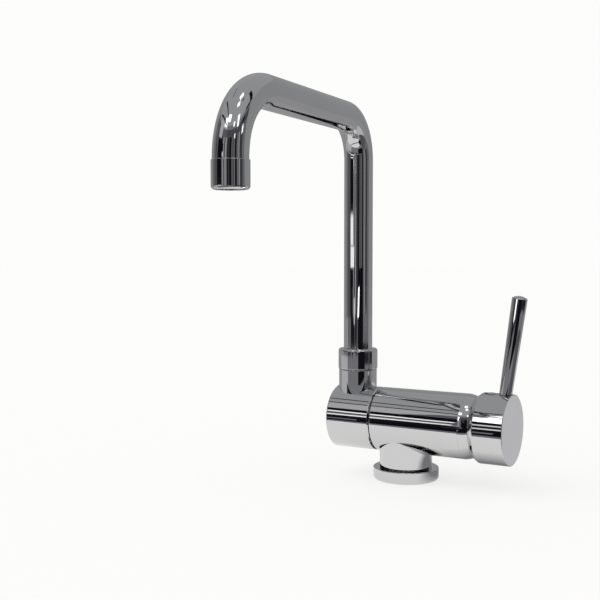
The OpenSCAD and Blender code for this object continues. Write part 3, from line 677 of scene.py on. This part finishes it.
# %% Lever hub
HUB_R = 23.45
HUB_LEFT = low("lever_hub", X)
HUB_RIGHT = high("lever_hub", X)
HUB_SLOPE = 3.8
HUB_LIP = 0.4
CAVE_R = DOME_R + PASS_GAP
CAVE_END = 62.81
SOCKET_R = 6.63
SOCKET_FOOT = 57.3
lip_r = math.sqrt(CAVE_R ** 2 - (HUB_LEFT - PIVOT_X) ** 2)
hub = turned("hub", [
    (SOCKET_FOOT, 0), (SOCKET_FOOT, SOCKET_R, EDGE), (CAVE_END, SOCKET_R),
    *arc(CAVE_R, CAVE_END, HUB_LEFT), (HUB_LEFT, lip_r + HUB_LIP, CRISP), (HUB_LEFT + HUB_SLOPE, HUB_R, EDGE),
    (HUB_RIGHT, HUB_R, SOFT), (HUB_RIGHT, 0),
], BARREL)
print("hub turned, faces", len(hub.data.polygons))

# %% Holes of the hub
HUB_TOP = AXIS_H + HUB_R
PLUG_SET = 9.3
PLUG_SEAT_R = 4.4
PLUG_SINK = 3
GRUB_R = 2.5
LEVER_SET = 4.95
LEVER_LEAN = math.radians(7.8)
LEVER_SEAT_R = 4.6
LEVER_SEAT = 1.4
LEVER_CUT = 9
SHANK_R = 3
SHANK_LEN = 9.4
lever_axis = Vector((math.sin(LEVER_LEAN), 0, math.cos(LEVER_LEAN)))
LEVER_FOOT = Vector(((HUB_RIGHT - LEVER_SET) * MM, 0, HUB_TOP * MM))
lever_lathe = (LEVER_FOOT, lever_axis, ALONG_Y)
plug_lathe = upright(Vector(((HUB_LEFT + PLUG_SET) * MM, 0, 0)))
drill(hub, plug_lathe, PLUG_SEAT_R, HUB_TOP - PLUG_SINK, HUB_TOP + OVER)
drill(hub, plug_lathe, GRUB_R + FIT, AXIS_H, HUB_TOP)
drill(hub, lever_lathe, LEVER_SEAT_R, -LEVER_SEAT, LEVER_CUT)
drill(hub, lever_lathe, SHANK_R + FIT, -SHANK_LEN - TIP_GAP, 0)
print("hub drilled, faces", len(hub.data.polygons))

# %% Stem's socket in the hub
STEM_W = 7
STEM_END = high("lever_stem", X) + FIT
socket_w = STEM_W + 2 * FIT
socket_length = STEM_END - SOCKET_FOOT + 2 * OVER
bpy.ops.object.select_all(action="DESELECT")
bpy.ops.mesh.primitive_cube_add(size=socket_w * MM, location=(0, 0, 0))
socket = bpy.context.object
bpy.ops.object.mode_set(mode="EDIT")
bpy.ops.mesh.select_all(action="SELECT")
bpy.ops.transform.resize(value=(socket_length / socket_w, 1, 1))
bpy.ops.transform.translate(value=AXIS + ALONG_X * (STEM_END - socket_length / 2) * MM)
bpy.ops.object.mode_set(mode="OBJECT")
combine(hub, socket, "DIFFERENCE")
finish_piece(hub, "lever_hub")

# %% [markdown]
# Lever and plug
#
# The lever is a pin that grows a little towards its domed tip and leans away from the barrel. The
# plug is a small dome that covers the grub screw in the hub's top. Both domes are cut from a ball.

# %% Lever
DOME_STEPS = 6
LEVER_ROOT_R = 4.25
LEVER_TIP_R = 5.05
LEVER_LEN = 65
TIP_DOME_R = 9
TIP_ROUND = 0.45
# How far the rounded edge of the tip is drawn inside its radius
TIP_TRIM = 0.02


def dome_points(top, ball_r, edge_r):
    """Points of a section on a dome, from its edge to its top."""
    radii = [edge_r * (1 - step / DOME_STEPS) for step in range(DOME_STEPS + 1)]
    return [(top - ball_r + math.sqrt(ball_r ** 2 - radius ** 2), radius) for radius in radii]


tip = dome_points(LEVER_LEN, TIP_DOME_R, LEVER_TIP_R)
lever = turned("lever_pin", [
    (-SHANK_LEN, 0), (-SHANK_LEN, SHANK_R, SOFT), (-LEVER_SEAT, SHANK_R), (-LEVER_SEAT, LEVER_ROOT_R, FINE),
    (0, LEVER_ROOT_R), (tip[0][0], LEVER_TIP_R - TIP_TRIM, TIP_ROUND), *tip[1:],
], lever_lathe, SMALL_SIDES)
finish_piece(lever, "pin_lever")

# %% Plug
PLUG_R = 3.2
PLUG_RISE = 0.45
PLUG_DOME_R = 10.47
plug_foot = HUB_TOP - PLUG_SINK
plug_dome = dome_points(HUB_TOP + PLUG_RISE, PLUG_DOME_R, PLUG_R)
plug = turned("hub_plug_dome", [
    (plug_foot, 0), (plug_foot, PLUG_R, FINE), (*plug_dome[0], FINE), *plug_dome[1:],
], plug_lathe, SMALL_SIDES)
finish_piece(plug, "hub_plug")

# %% [markdown]
# Floor and world
#
# A white sheet lies under the tap. Its colour makes the pale ground, and the light on it stays at a
# plain level. To the camera and to mirrors, part of the floor shows its colour without shading, so the
# ground runs into the white room with no horizon, and the soft shadow of the tap still shows on it.

# %% Stage helpers
def stage_material(name):
    """An empty material for the stage."""
    material = bpy.data.materials.new(name)
    material.use_nodes = True
    material.node_tree.nodes.clear()
    return material, material.node_tree


def seen_directly(tree):
    """A socket that is 1 for rays from the camera, from a mirror or through glass, and otherwise 0."""
    ray = add_node(tree, "ShaderNodeLightPath")
    direct = add_node(tree, "ShaderNodeMath", {"operation": "MAXIMUM"})
    tree.links.new(ray.outputs["Is Camera Ray"], direct.inputs[0])
    tree.links.new(ray.outputs["Is Glossy Ray"], direct.inputs[1])
    either = add_node(tree, "ShaderNodeMath", {"operation": "MAXIMUM"})
    tree.links.new(direct.outputs[0], either.inputs[0])
    tree.links.new(ray.outputs["Is Transmission Ray"], either.inputs[1])
    return either.outputs[0]


def blend_into(tree, share, first, second):
    """Ends a material that shows a first shader where a share is 0 and a second one where it is 1."""
    blend = add_node(tree, "ShaderNodeMixShader", {}, Fac=share)
    tree.links.new(first.outputs[0], blend.inputs[1])
    tree.links.new(second.outputs[0], blend.inputs[2])
    add_node(tree, "ShaderNodeOutputMaterial", Surface=blend.outputs["Shader"])


# %% Floor
WHITE = "#FDFDFC"
SHADELESS = 0.75
FLOOR_SIZE = 12
bpy.ops.object.select_all(action="DESELECT")
bpy.ops.mesh.primitive_plane_add(size=FLOOR_SIZE, location=(0, 0, 0))
floor = bpy.context.object
floor.name = "floor"
sheet, sheet_tree = stage_material("white_sheet")
lit = add_node(sheet_tree, "ShaderNodeBsdfDiffuse", {"Color": linear(WHITE)})
plain = add_node(sheet_tree, "ShaderNodeEmission", {"Color": linear(WHITE)})
unshaded = add_node(sheet_tree, "ShaderNodeMapRange", {"To Max": SHADELESS}, Value=seen_directly(sheet_tree))
blend_into(sheet_tree, unshaded.outputs["Result"], lit, plain)
floor.data.materials.append(sheet)
print("floor of", FLOOR_SIZE, "m in", sheet.name)

# %% World
AMBIENT = 0.78
world = bpy.data.worlds.new("white_room")
bpy.context.scene.world = world
world.use_nodes = True
room = world.node_tree
room.nodes.clear()
level = add_node(room, "ShaderNodeMapRange", {"To Min": AMBIENT, "To Max": 1.0}, Value=seen_directly(room))
sky = add_node(room, "ShaderNodeBackground", {"Color": linear(WHITE)}, Strength=level.outputs["Result"])
add_node(room, "ShaderNodeOutputWorld", Surface=sky.outputs["Background"])
print("world", world.name, "at", AMBIENT)

# %% Key light
KEY_SPREAD = math.radians(50)
KEY_STRENGTH = 0.85
KEY_TOWARDS = Vector((0.45, 0.4, -0.8))
key_data = bpy.data.lights.new("key", "SUN")
key_data.angle = KEY_SPREAD
key_data.energy = KEY_STRENGTH
key = bpy.data.objects.new("key", key_data)
bpy.context.scene.collection.objects.link(key)
key.rotation_euler = KEY_TOWARDS.to_track_quat("-Z", "Y").to_euler()
key.visible_glossy = False
print("key light at", KEY_STRENGTH)

# %% [markdown]
# What the chrome sees
#
# Chrome has no colour of its own: it shows the room. So the room is built from cards, as in a product
# studio. They light nothing and cast no shadow, and only mirror rays see them. A place in the room is
# given by its azimuth, 0 straight ahead of the tap and 90 towards the lever, and by its elevation.
# Where chrome faces chrome, as under the barrel, a mirror shows a mirror. Some cards are painted shade:
# they are clear to the first mirror and dark to later ones, which keeps such corners dark and marks no open face.

# %% Card materials
RAMP_START = -90


def light_card(name, hex_colour, strength=1):
    """A material that shows one even brightness."""
    material, tree = stage_material(name)
    glow = add_node(tree, "ShaderNodeEmission", {"Color": linear(hex_colour), "Strength": strength})
    add_node(tree, "ShaderNodeOutputMaterial", Surface=glow.outputs["Emission"])
    return material


def striped_cloth(name, stripes):
    """A material in stripes round the tap. A stripe is a colour and the azimuth where it starts."""
    material, tree = stage_material(name)
    place = add_node(tree, "ShaderNodeTexCoord").outputs["Object"]
    turn = add_node(tree, "ShaderNodeTexGradient", {"gradient_type": "RADIAL"}, Vector=place)
    ramp = add_node(tree, "ShaderNodeValToRGB", {}, Fac=turn.outputs["Fac"])
    ramp.color_ramp.interpolation = "CONSTANT"
    ramp.color_ramp.elements.remove(ramp.color_ramp.elements[1])
    ramp.color_ramp.elements[0].color = linear(stripes[0][1])
    for azimuth, colour in stripes[1:]:
        ramp.color_ramp.elements.new((azimuth - RAMP_START) / 360).color = linear(colour)
    glow = add_node(tree, "ShaderNodeEmission", {}, Color=ramp.outputs["Color"])
    add_node(tree, "ShaderNodeOutputMaterial", Surface=glow.outputs["Emission"])
    return material


def veil(tree, share, hex_colour):
    """Ends a material that is clear where a share is 0 and shows a colour where it is 1."""
    clear = add_node(tree, "ShaderNodeBsdfTransparent")
    tone = add_node(tree, "ShaderNodeEmission", {"Color": linear(hex_colour)})
    blend_into(tree, share, clear, tone)


def later_mirror_shade(name, hex_colour, mirrors):
    """A painted shade: a material that shows only to a ray that has left so many mirrors."""
    material, tree = stage_material(name)
    depth = add_node(tree, "ShaderNodeLightPath").outputs["Ray Depth"]
    later = add_node(tree, "ShaderNodeMapRange", {"From Min": mirrors - 1, "From Max": mirrors}, Value=depth)
    veil(tree, later.outputs["Result"], hex_colour)
    return material


dark = light_card("dark_cloth", "#141217")
dull = light_card("dull_line", "#807E86")
window = light_card("window", "#FFFFFF", 2.2)
bright = light_card("bright_line", "#FFFFFF", 1.3)
pale_line = light_card("pale_line", "#F2F2F2")
pale_band = light_card("pale_band", "#C2C2C4")
# Painted shade for corners where chrome faces chrome: dark only after two or three mirrors
second_mirror_shade = later_mirror_shade("deep_cloth", "#141217", 2)
third_mirror_shade = later_mirror_shade("deepest_cloth", "#0E0D10", 3)
print("card materials", [material.name for material in (dark, dull, window, bright, second_mirror_shade, third_mirror_shade)])

# %% Cards that only mirrors see
def mirror_only(card, name, material):
    """Makes an object part of the stage that only mirrors see."""
    card.name = name
    card.data.materials.append(material)
    card.visible_camera = False
    card.visible_diffuse = False
    card.visible_shadow = False
    print("card", name, "in", material.name)


def keep_sector(ring, first, last):
    """Deletes the faces of a ring round the tap that lie outside two azimuths."""
    bpy.ops.object.mode_set(mode="EDIT")
    bpy.ops.mesh.select_mode(type="FACE")
    bpy.ops.mesh.select_all(action="DESELECT")
    cloth = bmesh.from_edit_mesh(ring.data)
    for face in cloth.faces:
        middle = face.calc_center_median()
        azimuth = math.degrees(math.atan2(middle.x, -middle.y))
        face.select_set((azimuth - first) % 360 > last - first)
    bmesh.update_edit_mesh(ring.data)
    bpy.ops.mesh.delete(type="FACE")
    bpy.ops.object.mode_set(mode="OBJECT")


# %% Round cards
RING_SIDES = 180
MAT_DEPTH = 0.0004
TENT_SIDES = 64
TENT_RINGS = 32


def ring_card(name, inner, outer, foot, top, first, last, material):
    """Bends a card round the tap, between two azimuths. inner is the radius of its lower edge."""
    bpy.ops.object.select_all(action="DESELECT")
    bpy.ops.mesh.primitive_cone_add(
        vertices=RING_SIDES, radius1=inner, radius2=outer, depth=top - foot, end_fill_type="NOTHING",
        location=(0, 0, (top + foot) / 2),
    )
    ring = bpy.context.object
    keep_sector(ring, first, last)
    mirror_only(ring, name, material)


def stand_wall(name, radius, foot, top, first, last, material):
    """Stands an upright card round the tap."""
    ring_card(name, radius, radius, foot, top, first, last, material)


def lay_mat(name, inner, outer, first, last, material, layer=1):
    """Lays a flat card round the tap. A higher layer lies over the others."""
    ring_card(name, inner, outer, layer * MAT_DEPTH, (layer + 1) * MAT_DEPTH, first, last, material)


def pitch_tent(name, radius, material):
    """Puts a ball of cloth round everything."""
    bpy.ops.object.select_all(action="DESELECT")
    bpy.ops.mesh.primitive_uv_sphere_add(
        segments=TENT_SIDES, ring_count=TENT_RINGS, radius=radius, location=(0, 0, 0),
    )
    mirror_only(bpy.context.object, name, material)


# %% [markdown]
# Screen and walls
#
# The upright tube and the sleeve are narrow mirrors that squeeze the whole room into a few upright
# lines. A striped screen ahead of the tap gives them those lines, and a low striped rail gives shorter
# ones. Behind the tap a plain grey wall is enough.

# %% Tent, screen and walls
ALL_ROUND = (-90, 270)
AHEAD = (-82, 118)
BEHIND = (118, 278)
LEVER_SIDE = (62, 118)
TENT = 2.4
INNER_TENT = 1.6
SCREEN = 1.5
RAIL = 0.45
PALE = "#A6A6A8"
GREY = "#77777A"
SLATE = "#444446"
BLACK = "#1C1C1E"
TENT_GREY = "#ABACAE"
screen_stripes = striped_cloth("striped_screen", [
    (-90, GREY), (-64, SLATE), (-57, GREY), (-51, SLATE), (-38, BLACK), (-21, GREY), (-15, PALE), (-9, SLATE),
    (-3, PALE), (3, GREY), (9, BLACK), (15, SLATE), (21, BLACK), (33, GREY), (39, SLATE), (45, GREY),
    (51, BLACK), (63, GREY), (75, PALE), (81, SLATE), (99, GREY),
])
rail_stripes = striped_cloth("striped_rail", [
    (-90, PALE), (-63, SLATE), (-57, GREY), (-39, BLACK), (-9, GREY), (-3, BLACK), (10, GREY), (16, SLATE),
    (21, BLACK), (28, GREY), (33, PALE), (51, SLATE), (57, BLACK), (63, GREY),
])
top_stripes = striped_cloth("screen_top", [(-90, "#68666C"), (0, "#55535A")])
edge_stripes = striped_cloth("screen_edge", [(-90, TENT_GREY), (0, "#838288")])
pitch_tent("tent", TENT, light_card("grey_tent", TENT_GREY))
# painted shade: this inner ball is dark only to rays that have left three mirrors
pitch_tent("deep_tent", INNER_TENT, third_mirror_shade)
for name, radius, foot_z, top_z, sector, material in (
    ("screen", SCREEN, 0, 0.9, AHEAD, screen_stripes),
    ("screen_top", SCREEN, 0.9, 1.2, AHEAD, top_stripes),
    ("screen_edge", SCREEN, 1.2, 1.4, AHEAD, edge_stripes),
    ("rail", RAIL, 0.045, 0.08, AHEAD, rail_stripes),
    ("rail_low", RAIL, 0.022, 0.045, LEVER_SIDE, light_card("rail_low", "#2A2A2C")),
    ("back_wall", SCREEN, 0, 1.3, BEHIND, light_card("grey_wall", "#9C9D9F")),
):
    stand_wall(name, radius, foot_z, top_z, *sector, material)

# %% [markdown]
# Table
#
# Faces that look down see what the tap stands on. Near the tap that is the white sheet, which makes the
# lower half of the barrel pale. Further out lies a grey table, so that the arm's underside and the
# foot's edge are not as white.

# %% Table beyond the sheet
SHEET_EDGE = 0.24
TABLE_EDGE = 0.85
SIDE = (118, 157)
RIGHT = (50, 118)
BACK = (157, 270)
HOOP = (-130, 70)
TABLE_GREY = "#A3A3A5"
SIDE_PALE = "#D3D3D5"
TABLE_DARK = "#5E5D62"
near_top = striped_cloth("table_top", [
    (-90, "#C9C8CC"), (-40, "#8A898E"), (64, TABLE_DARK), (118, SIDE_PALE), (157, "#A9A9AC"),
])
middle_top = striped_cloth("middle_table_top", [(-90, "#C8C8CA"), (-40, "#858587"), (118, TABLE_GREY)])
right_top = striped_cloth("right_mat", [(-90, "#1C1A1F"), (75, TABLE_DARK)])
for name, inner, outer, sector, material, layer in (
    ("table", SHEET_EDGE, RAIL, ALL_ROUND, near_top, 1),
    ("middle_table", RAIL, TABLE_EDGE, ALL_ROUND, middle_top, 1),
    ("far_table", TABLE_EDGE, SCREEN, AHEAD, screen_stripes, 1),
    ("far_table_back", TABLE_EDGE, SCREEN, BEHIND, light_card("far_table_back", TABLE_GREY), 1),
    # painted shade: dark only to rays that have left two mirrors
    ("deep_hoop", 0.3, 0.9, HOOP, second_mirror_shade, 5),
    # painted shade: the tap's shadow on the sheet, right and behind the foot, as mirrors see it
    ("side_mat", 0.115, SHEET_EDGE, SIDE, light_card("side_mat", SIDE_PALE), 1),
    # painted shade: dark only to rays that have left three mirrors
    ("deep_mat", FLANGE_R * MM, SCREEN, ALL_ROUND, third_mirror_shade, 3),
    ("right_mat", 0.13, SHEET_EDGE, RIGHT, right_top, 1),
    # painted shade: the tap's shadow on the sheet behind the foot, as mirrors see it
    ("back_mat", 0.19, SHEET_EDGE, BACK, light_card("back_mat", "#B6B6B8"), 1),
):
    lay_mat(name, inner, outer, *sector, material, layer)

# %% [markdown]
# Board in front of the foot
#
# A low dark board stands in front of the tap, a little askew. It gives the barrel the dark band along
# its middle, and the two dashes on it give that band its short grey streaks. Two low cards at the
# sides are painted shade: they show only in second reflections and darken the corner under the barrel.

# %% Board
BOARD_Y = -0.1065
BOARD_SLOPE = 0.2
BOARD_ENDS = (-0.16, 0.14)
DASH_PROUD = 0.002
LOW_SHADE = 0.16
LOW_SHADE_RISE = (0.03, 0.06)
LEFT_SHADE = (-135, -50)
RIGHT_SHADE = (60, 140)


def stand_board(name, ends, foot, top, material, proud=0):
    """Stands a board in front of the tap between two places along X. proud brings it nearer."""
    left, right = ends
    middle = (left + right) / 2
    place = (middle, BOARD_Y + BOARD_SLOPE * middle + proud, (foot + top) / 2)
    bpy.ops.object.select_all(action="DESELECT")
    bpy.ops.mesh.primitive_plane_add(size=1, location=place)
    board = bpy.context.object
    board.rotation_euler = (QUARTER, 0, math.atan(BOARD_SLOPE))
    board.scale = ((right - left) * math.hypot(1, BOARD_SLOPE), top - foot, 1)
    mirror_only(board, name, material)


stand_board("board_foot", BOARD_ENDS, 0.0105, 0.02, light_card("board_foot", "#7C7A83"))
stand_board("board", BOARD_ENDS, 0.02, 0.042, dark)
stand_board("dash_left", (-0.12, -0.075), 0.031, 0.038, dull, DASH_PROUD)
stand_board("dash_right", (0.018, 0.046), 0.03, 0.036, dull, DASH_PROUD)
# painted shade: these low walls are dark only after two mirrors
stand_wall("low_shade_left", LOW_SHADE, *LOW_SHADE_RISE, *LEFT_SHADE, second_mirror_shade)
stand_wall("low_shade_right", LOW_SHADE, *LOW_SHADE_RISE, *RIGHT_SHADE, second_mirror_shade)

# %% [markdown]
# Windows and lamps
#
# The front bend is close to a ball, so it shows small pictures of the windows and lamps of the room.
# The barrel stretches each lamp to a line along its length. Cards close to a piece show on that piece
# and hardly on the others, so each one hangs at its own distance.

# %% Hanging cards
FAR = 1.3


def hang_card(name, azimuth, elevation, width, height, material, eye=AXIS, distance=FAR):
    """Hangs a flat card that faces a point of the tap. Its size is in degrees, as seen from there."""
    turn = math.radians(azimuth)
    rise = math.radians(elevation)
    towards = Vector((math.sin(turn) * math.cos(rise), -math.cos(turn) * math.cos(rise), math.sin(rise)))
    bpy.ops.object.select_all(action="DESELECT")
    bpy.ops.mesh.primitive_plane_add(size=2 * distance, location=towards * distance + eye)
    card = bpy.context.object
    card.rotation_euler = (-towards).to_track_quat("Z", "Y").to_euler()
    card.scale = (math.tan(math.radians(width / 2)), math.tan(math.radians(height / 2)), 1)
    mirror_only(card, name, material)


# %% Windows and lamps over the front bend
BEND_EYE_H = 235
BEND_EYE_BACK = 14
BEND_EYE = OUTLET + (ALONG_Z * BEND_EYE_H - ahead * BEND_EYE_BACK) * MM
for name, azimuth, elevation, width, height, material in (
    ("window_a", -16, 44, 14, 11, window),
    ("window_b", 2, 51, 15, 10, window),
    ("window_c", -42, 36.5, 13, 7, window),
    ("window_d", 70, 39.5, 8, 14, window),
    ("window_e", 45, 40.5, 6, 6, window),
    ("window_f", 100.5, 21.5, 6, 6, window),
    ("window_g", 55, 25, 4, 5, window),
    ("lamp_high", 80, 76.5, 10, 9, window),
    ("lamp_low", 57, 66, 9, 7, window),
    ("lamp_gap", 88, 64, 6, 3, dark),
    ("curtain_upright", 123, 46, 6, 22, dark),
    ("curtain_fold", 114, 36.5, 12, 4, dark),
    ("curtain_foot", 101, 29.5, 10, 5, dark),
):
    hang_card(name, azimuth, elevation, width, height, material, BEND_EYE)

# %% Lamps along the barrel, the hub and the lever
HUB_MIDDLE = 64
LEVER_MIDDLE = 30
HUB_EYE = AXIS + ALONG_X * HUB_MIDDLE * MM
LEVER_EYE = LEVER_FOOT + lever_axis * LEVER_MIDDLE * MM
for name, azimuth, elevation, width, height, material, eye, distance in (
    ("barrel_band", -36, 36, 17, 15, pale_band, AXIS, FAR),
    ("barrel_cloth", -29.5, 15.75, 23, 25.5, dark, AXIS, 0.93),
    ("barrel_line_c", -28, 18, 28, 3.6, bright, AXIS, 0.35),
    ("barrel_line_d", -29.5, 9, 23, 3.4, bright, AXIS, 0.9),
    ("barrel_line_e", -28.5, 12.3, 24, 3.2, dull, AXIS, 0.5),
    ("hub_line_a", -15, 17, 4.6, 3.4, pale_line, AXIS, 0.9),
    ("hub_line_b", -9.8, 6.5, 7, 4, pale_line, AXIS, 0.42),
    ("hub_cloth_high", -15, 22.5, 5, 7, dark, AXIS, 0.93),
    ("hub_cloth_low", -9.8, 7, 7, 14, dark, AXIS, 0.44),
    ("beam_low", -38, 45.8, 40, 2, dark, AXIS, FAR),
    ("beam_high", -45, 56, 40, 2, dark, AXIS, FAR),
    ("beam_top", -75, 68, 14, 1.5, dark, AXIS, FAR),
    ("hub_window", -17, 31.3, 14, 12, window, HUB_EYE, 0.142),
    ("lever_cloth", 31, -3, 50, 26, dark, LEVER_EYE, 0.25),
):
    hang_card(name, azimuth, elevation, width, height, material, eye, distance)

# %% [markdown]
# Soft shade on the sheet
#
# The column and the foot mirror the ground close to them, where the tap's own shade lies. Two ovals
# that fade out to their edges stand for it, one on each side.

# %% Soft shade on the sheet
SHADE_SIDES = 48
SHADE_FADE = 0.5


def lay_shade(name, place, length, width, turn, hex_colour):
    """Lays an oval shade on the floor that is dense in its middle and fades out to its edge."""
    material, tree = stage_material(name)
    inside = add_node(tree, "ShaderNodeTexCoord").outputs["Object"]
    fading = add_node(tree, "ShaderNodeTexGradient", {"gradient_type": "SPHERICAL"}, Vector=inside)
    dense = add_node(tree, "ShaderNodeMapRange", {"From Max": SHADE_FADE}, Value=fading.outputs["Fac"])
    veil(tree, dense.outputs["Result"], hex_colour)
    bpy.ops.object.select_all(action="DESELECT")
    bpy.ops.mesh.primitive_circle_add(
        vertices=SHADE_SIDES, radius=1, fill_type="NGON", location=(*place, MAT_DEPTH),
    )
    oval = bpy.context.object
    oval.rotation_euler = (0, 0, math.radians(turn))
    oval.scale = (length, width, 1)
    mirror_only(oval, name, material)


lay_shade("shade_right", (0.055, 0.036), 0.064, 0.065, 45, "#8A898D")
lay_shade("shade_left", (-0.05, 0.1), 0.1, 0.075, 135, "#98979B")
